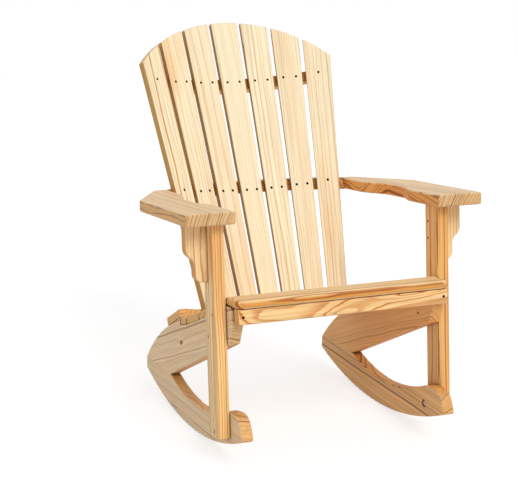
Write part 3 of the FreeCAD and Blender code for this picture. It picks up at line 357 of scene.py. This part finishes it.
def finish_board(name, grain, face, tint, knots=(), **looks):
    """Give a board its own pine: grain and face are directions in the chair's square frame."""
    finished_boards.append(name)
    looks = {**LOOKS, **looks}
    turn = LEANING.to_3x3()
    grain = (turn @ Vector(grain)).normalized()
    face = turn @ Vector(face)
    face = (face - face.dot(grain) * grain).normalized()
    to_board = Matrix((face.cross(grain), face, grain))
    low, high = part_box(name)
    middle = (low + high) / 2

    material, tree = new_material(f"pine_{name}")
    place = add_node(tree, "ShaderNodeMapping", {
        "Vector": add_node(tree, "ShaderNodeTexCoord").outputs["Object"],
        "Scale": (MILLIMETRES, MILLIMETRES, MILLIMETRES),
        "Rotation": to_board.to_euler("XYZ"),
        "Location": to_board @ middle * -MILLIMETRES}).outputs[0]
    early, late = TINTS[tint]
    settings = {
        "Place": place, "Grain": grain, "Face": face, "Early": early, "Late": late,
        "Seed": len(finished_boards) * SEED_STEP,
        "Heart Across": looks["heart"][0], "Heart Deep": looks["heart"][1],
        "Drift Across": looks["drift"][0], "Drift Deep": looks["drift"][1]}
    for look in ("ring", "wander", "contrast", "summer", "streak", "warmth", "edge", "end"):
        settings[look.title()] = looks[look]
    for spot, size in knots:
        centre = to_board @ (LEANING @ Vector(spot) - middle) * MILLIMETRES
        branch = {"Place": place, "Centre": centre, "Size": size}
        branch = add_node(tree, "ShaderNodeGroup", branch, node_tree=knot).outputs
        settings.update({"Push": branch["Push"], "Knot": branch["Knot"]})
    rings = add_node(tree, "ShaderNodeGroup", settings, node_tree=pine).outputs

    # painted shade: the colour is darkened in gaps and corners where little open air is near
    openness = add_node(tree, "ShaderNodeAmbientOcclusion", {"Distance": PAINTED_SHADE_REACH}, samples=6).outputs["AO"]
    painted_gap_shade = calc(tree, "MULTIPLY_ADD", ramp(tree, openness, 0.25, 0.9), 1 - PAINTED_GAP_SHADE, PAINTED_GAP_SHADE)
    colour_with_painted_shade = add_node(tree, "ShaderNodeVectorMath", {0: rings["Colour"], "Scale": painted_gap_shade},
                      operation="SCALE").outputs[0]
    bump = add_node(tree, "ShaderNodeBump", {"Height": rings["Height"], "Distance": 0.0004, "Strength": 0.35})
    shader = add_node(tree, "ShaderNodeBsdfPrincipled", {
        "Base Color": colour_with_painted_shade, "Roughness": rings["Roughness"],
        "Normal": bump.outputs[0], "Specular IOR Level": 0.3})
    add_node(tree, "ShaderNodeOutputMaterial", {"Surface": shader.outputs[0]})
    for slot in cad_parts[name].material_slots:
        slot.material = material


# %% [markdown]
# ## The back
#
# The seven slats lie on a slim cone and open like a fan. Each is turned a little more about the cone's
# axis than the one before, so its grain and its face turn with it. Their boards were cut well away from
# the heart, which is why the slats are striped from foot to head and have no arches.

# %% The slats of the back
RECLINE, FAN_TILT, SLAT_TURN = (math.radians(turn) for turn in (21.7, 9.6, 8.38))
fan_axis = Vector((0, math.sin(FAN_TILT), math.cos(FAN_TILT)))
SLAT_LOOKS = [
    {"heart": (70, -150), "ring": 4.6, "contrast": 1.15, "warmth": 0.5, "streak": 0.7},
    {"heart": (190, -170), "ring": 6.0, "contrast": 0.75, "warmth": 0.7},
    {"heart": (-260, -150), "ring": 5.6, "contrast": 0.5, "warmth": 0.3, "streak": 0.3},
    {"heart": (-280, -60), "ring": 5.5, "contrast": 0.4, "warmth": 0.2, "streak": 0.3},
    {"heart": (-100, -150), "ring": 5.6, "contrast": 0.8, "warmth": 1.0, "streak": 0.6},
    {"heart": (-210, -70), "ring": 6.6, "contrast": 0.6, "warmth": 0.4},
    {"heart": (-160, -90), "ring": 8.6, "contrast": 0.75, "warmth": 0.6},
]
for number, slat_looks in enumerate(SLAT_LOOKS, start=1):
    turned = (Matrix.Rotation(-SLAT_TURN * (number - 4), 3, fan_axis)
              @ Matrix.Rotation(math.radians(90) - RECLINE, 3, "X"))
    finish_board(f"back_slat_{number}", turned @ Vector((0, 1, 0)), turned @ Vector((0, 0, 1)),
                 "cream", edge=srgb(196, 168, 118), **slat_looks)

# %% [markdown]
# ## Rails, legs, arms and brackets
#
# The rails run across, the legs and brackets stand upright and the arms run from front to back. The
# arms were cut from the side of the trunk: their front ends show the rings as a row of slanting stripes.

# %% Rails across the back
finish_board("back_rail_upper", (1, 0, 0), (0, 0.2, 1), "amber", heart=(60, -80), contrast=1.1)
finish_board("back_rail_middle", (1, 0, 0), (0, 0, 1), "amber", heart=(40, -70), ring=4.5, contrast=1.2)
finish_board("back_rail_lower", (1, 0, 0), (0, 0.37, 1), "honey", heart=(90, -70), contrast=0.8)

# %% Legs, arms and brackets
finish_board("leg_right", (0, 0, 1), (1, 0, 0), "honey", heart=(34, -90), ring=8.0, contrast=1.2, warmth=0.5,
             streak=0.8, edge=srgb(255, 240, 214))
finish_board("leg_left", (0, 0, 1), (1, 0, 0), "amber", heart=(50, -80), ring=7.0, contrast=1.1, streak=0.8,
             edge=srgb(250, 232, 200))
finish_board("arm_right", (0, 1, 0), (0, 0, 1), "tan", heart=(-170, -60), ring=6.5, contrast=1.0, streak=0.3)
finish_board("arm_left", (0, 1, 0), (0, 0, 1), "tan", heart=(-150, -75), ring=5.2, contrast=1.1,
             drift=(0.03, 0.05), wander=26.0, streak=0.3, edge=srgb(250, 206, 150))
finish_board("arm_bracket_right", (0, 0, 1), (0, 1, 0), "honey", heart=(20, -60), ring=5.5, contrast=1.1,
             edge=srgb(232, 196, 146))
finish_board("arm_bracket_left", (0, 0, 1), (0, 1, 0), "honey", heart=(-30, -70), ring=5.5, contrast=1.0)

# %% [markdown]
# ## Rockers and the sides under the seat
#
# The rockers are sawn from a wide plank, so the long curve cuts across the straight grain and the nose
# shows it almost end on. The sides slope down to the back, with the grain along the slope, and a knot
# near the leg.

# %% Rockers and stringers
finish_board("rocker_right", (0, 1, 0.03), (1, 0, 0), "tan", heart=(-48, -12), ring=5.5, contrast=1.0,
             summer=0.6, end=srgb(250, 226, 188))
finish_board("rocker_left", (0, 1, 0.10), (1, 0, 0), "brown", heart=(160, -60), ring=8.0, contrast=1.1,
             summer=0.6, streak=0.6)
slope = (0, 1, -0.33)
finish_board("stringer_right", slope, (1, 0, 0), "tan", heart=(-150, -45), ring=8.0, contrast=1.0,
             drift=(0.02, 0.02), wander=30.0, summer=0.6, knots=[((-0.267, 0.33, 0.16), 7.0)])
finish_board("stringer_left", slope, (1, 0, 0), "russet", heart=(-170, -60), ring=9.0, contrast=0.8,
             drift=(0.03, 0.03), wander=36.0, summer=0.6, knots=[((0.2384, 0.0508, 0.2305), 4.5)])

# %% [markdown]
# ## Apron and seat
#
# The apron was cut close to the heart and shows broad orange arches along its whole length. The seat
# boards behind the first one can only be seen from above, but they are finished like it.

# %% Apron and seat boards
finish_board("apron", (1, 0, 0), (0, 1, 0), "flame", heart=(6, 34), ring=4.2, contrast=1.3, warmth=0.6,
             drift=(0.02, 0.05), wander=95.0, summer=0.3, streak=0.6)
finish_board("seat_board_1", (1, 0, 0), (0, 0, 1), "honey", heart=(100, -70), ring=7.0, contrast=1.0,
             edge=srgb(232, 190, 128), streak=0.6)
SEAT_LOOKS = [(2, 21.5, 80), (3, 18.5, -30), (4, 16.5, 140), (5, 10.0, 20)]
for number, slope_angle, heart_across in SEAT_LOOKS:
    tilt = math.radians(slope_angle)
    finish_board(f"seat_board_{number}", (1, 0, 0), (0, math.sin(tilt), math.cos(tilt)), "honey",
                 heart=(heart_across, -80), ring=4.5, contrast=0.7, wander=26.0)
finish_board("arm_dowels", (0, 0, 1), (0, 1, 0), "amber", ring=3.0)
print("boards finished:", len(finished_boards))

# %% [markdown]
# ## Screws and bolts
#
# The heads of the screws sit a little under the surface and look like dark dots. They are steel all the
# same, dulled by a brown coating, and the bolts are bright zinc with faint cloudy patches.

# %% Steel
PATCH_SCALE = 420.0     # waves for each metre


def steel(name, colour, dark_colour, roughness):
    """A metal with cloudy patches of a second colour."""
    material, tree = new_material(name)
    spot = add_node(tree, "ShaderNodeTexCoord").outputs["Object"]
    noise = add_node(tree, "ShaderNodeTexNoise", {"Vector": spot, "Scale": PATCH_SCALE, "Detail": 3.0})
    patches = noise.outputs["Fac"]
    mixed = blend(tree, ramp(tree, patches, 0.35, 0.7), colour, dark_colour)
    rough = calc(tree, "MULTIPLY_ADD", patches, 0.3, roughness)
    shader = add_node(tree, "ShaderNodeBsdfPrincipled", {
        "Base Color": mixed, "Roughness": rough, "Metallic": 1.0})
    add_node(tree, "ShaderNodeOutputMaterial", {"Surface": shader.outputs[0]})
    return material


screw_steel = steel("screw_steel", srgb(50, 40, 32), srgb(24, 19, 15), 0.45)
zinc = steel("zinc", srgb(206, 206, 204), srgb(160, 162, 164), 0.22)
zinc_nodes = ("rocker_bolts", "bolt_washers", "bolt_nuts")
for name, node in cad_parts.items():
    if "screws" in name or name in zinc_nodes:
        for slot in node.material_slots:
            slot.material = zinc if name in zinc_nodes else screw_steel

# %% [markdown]
# ## Floor and light
#
# The chair stands on a white floor in a white room. One soft lamp in front, a little to the sitter's
# left, models the boards; the white room fills the rest. The floor glows only where it is seen, straight
# or in gloss, so it looks white, keeps a faint shadow and throws no more light on the chair than paper.

# %% The floor
bpy.ops.mesh.primitive_plane_add(size=14, location=(0, 0, 0))
floor = bpy.context.object
floor.name = "floor"
GLOW = 0.72
PAPER_GREY = 0.8        # how much light the floor throws back on the chair
SEEN_GREY = 0.4         # how much darker than that it is where it is seen


def where_seen(tree):
    """1 for rays that show the background: to the camera, in gloss and through glass. Else 0."""
    rays = add_node(tree, "ShaderNodeLightPath").outputs
    indirect = calc(tree, "MAXIMUM", rays["Is Glossy Ray"], rays["Is Transmission Ray"])
    return calc(tree, "MAXIMUM", rays["Is Camera Ray"], indirect)


paper, tree = new_material("paper")
seen = where_seen(tree)
glow = add_node(tree, "ShaderNodeEmission", {"Strength": calc(tree, "MULTIPLY", seen, GLOW)})
grey = calc(tree, "MULTIPLY_ADD", seen, -SEEN_GREY, PAPER_GREY)
matt = add_node(tree, "ShaderNodeBsdfDiffuse", {"Color": grey})
both = add_node(tree, "ShaderNodeAddShader", {0: glow.outputs[0], 1: matt.outputs[0]})
add_node(tree, "ShaderNodeOutputMaterial", {"Surface": both.outputs[0]})
floor.data.materials.append(paper)

# %% Lamp and room
FILL = 0.62             # the room's light on the chair, where 1 is white
LAMP_STRENGTH = 1.3
LAMP_SIDE, LAMP_HEIGHT, LAMP_WIDTH = (math.radians(turn) for turn in (8, 40, 24))
lamp = bpy.data.objects.new("lamp", bpy.data.lights.new("lamp", "SUN"))
lamp.data.energy = LAMP_STRENGTH
lamp.data.angle = LAMP_WIDTH
to_lamp = Vector((math.sin(LAMP_SIDE) * math.cos(LAMP_HEIGHT),
                  -math.cos(LAMP_SIDE) * math.cos(LAMP_HEIGHT),
                  math.sin(LAMP_HEIGHT)))
lamp.rotation_mode = "QUATERNION"
lamp.rotation_quaternion = to_lamp.to_track_quat("Z", "Y")
bpy.context.scene.collection.objects.link(lamp)

world = bpy.data.worlds.new("room")
bpy.context.scene.world = world
world.use_nodes = True
tree = world.node_tree
tree.nodes.clear()
level = calc(tree, "MULTIPLY_ADD", where_seen(tree), 1.0 - FILL, FILL)
air = add_node(tree, "ShaderNodeBackground", {"Color": (1.0, 1.0, 1.0, 1.0), "Strength": level})
add_node(tree, "ShaderNodeOutputWorld", {"Surface": air.outputs[0]})
bpy.context.scene.view_settings.view_transform = "Standard"
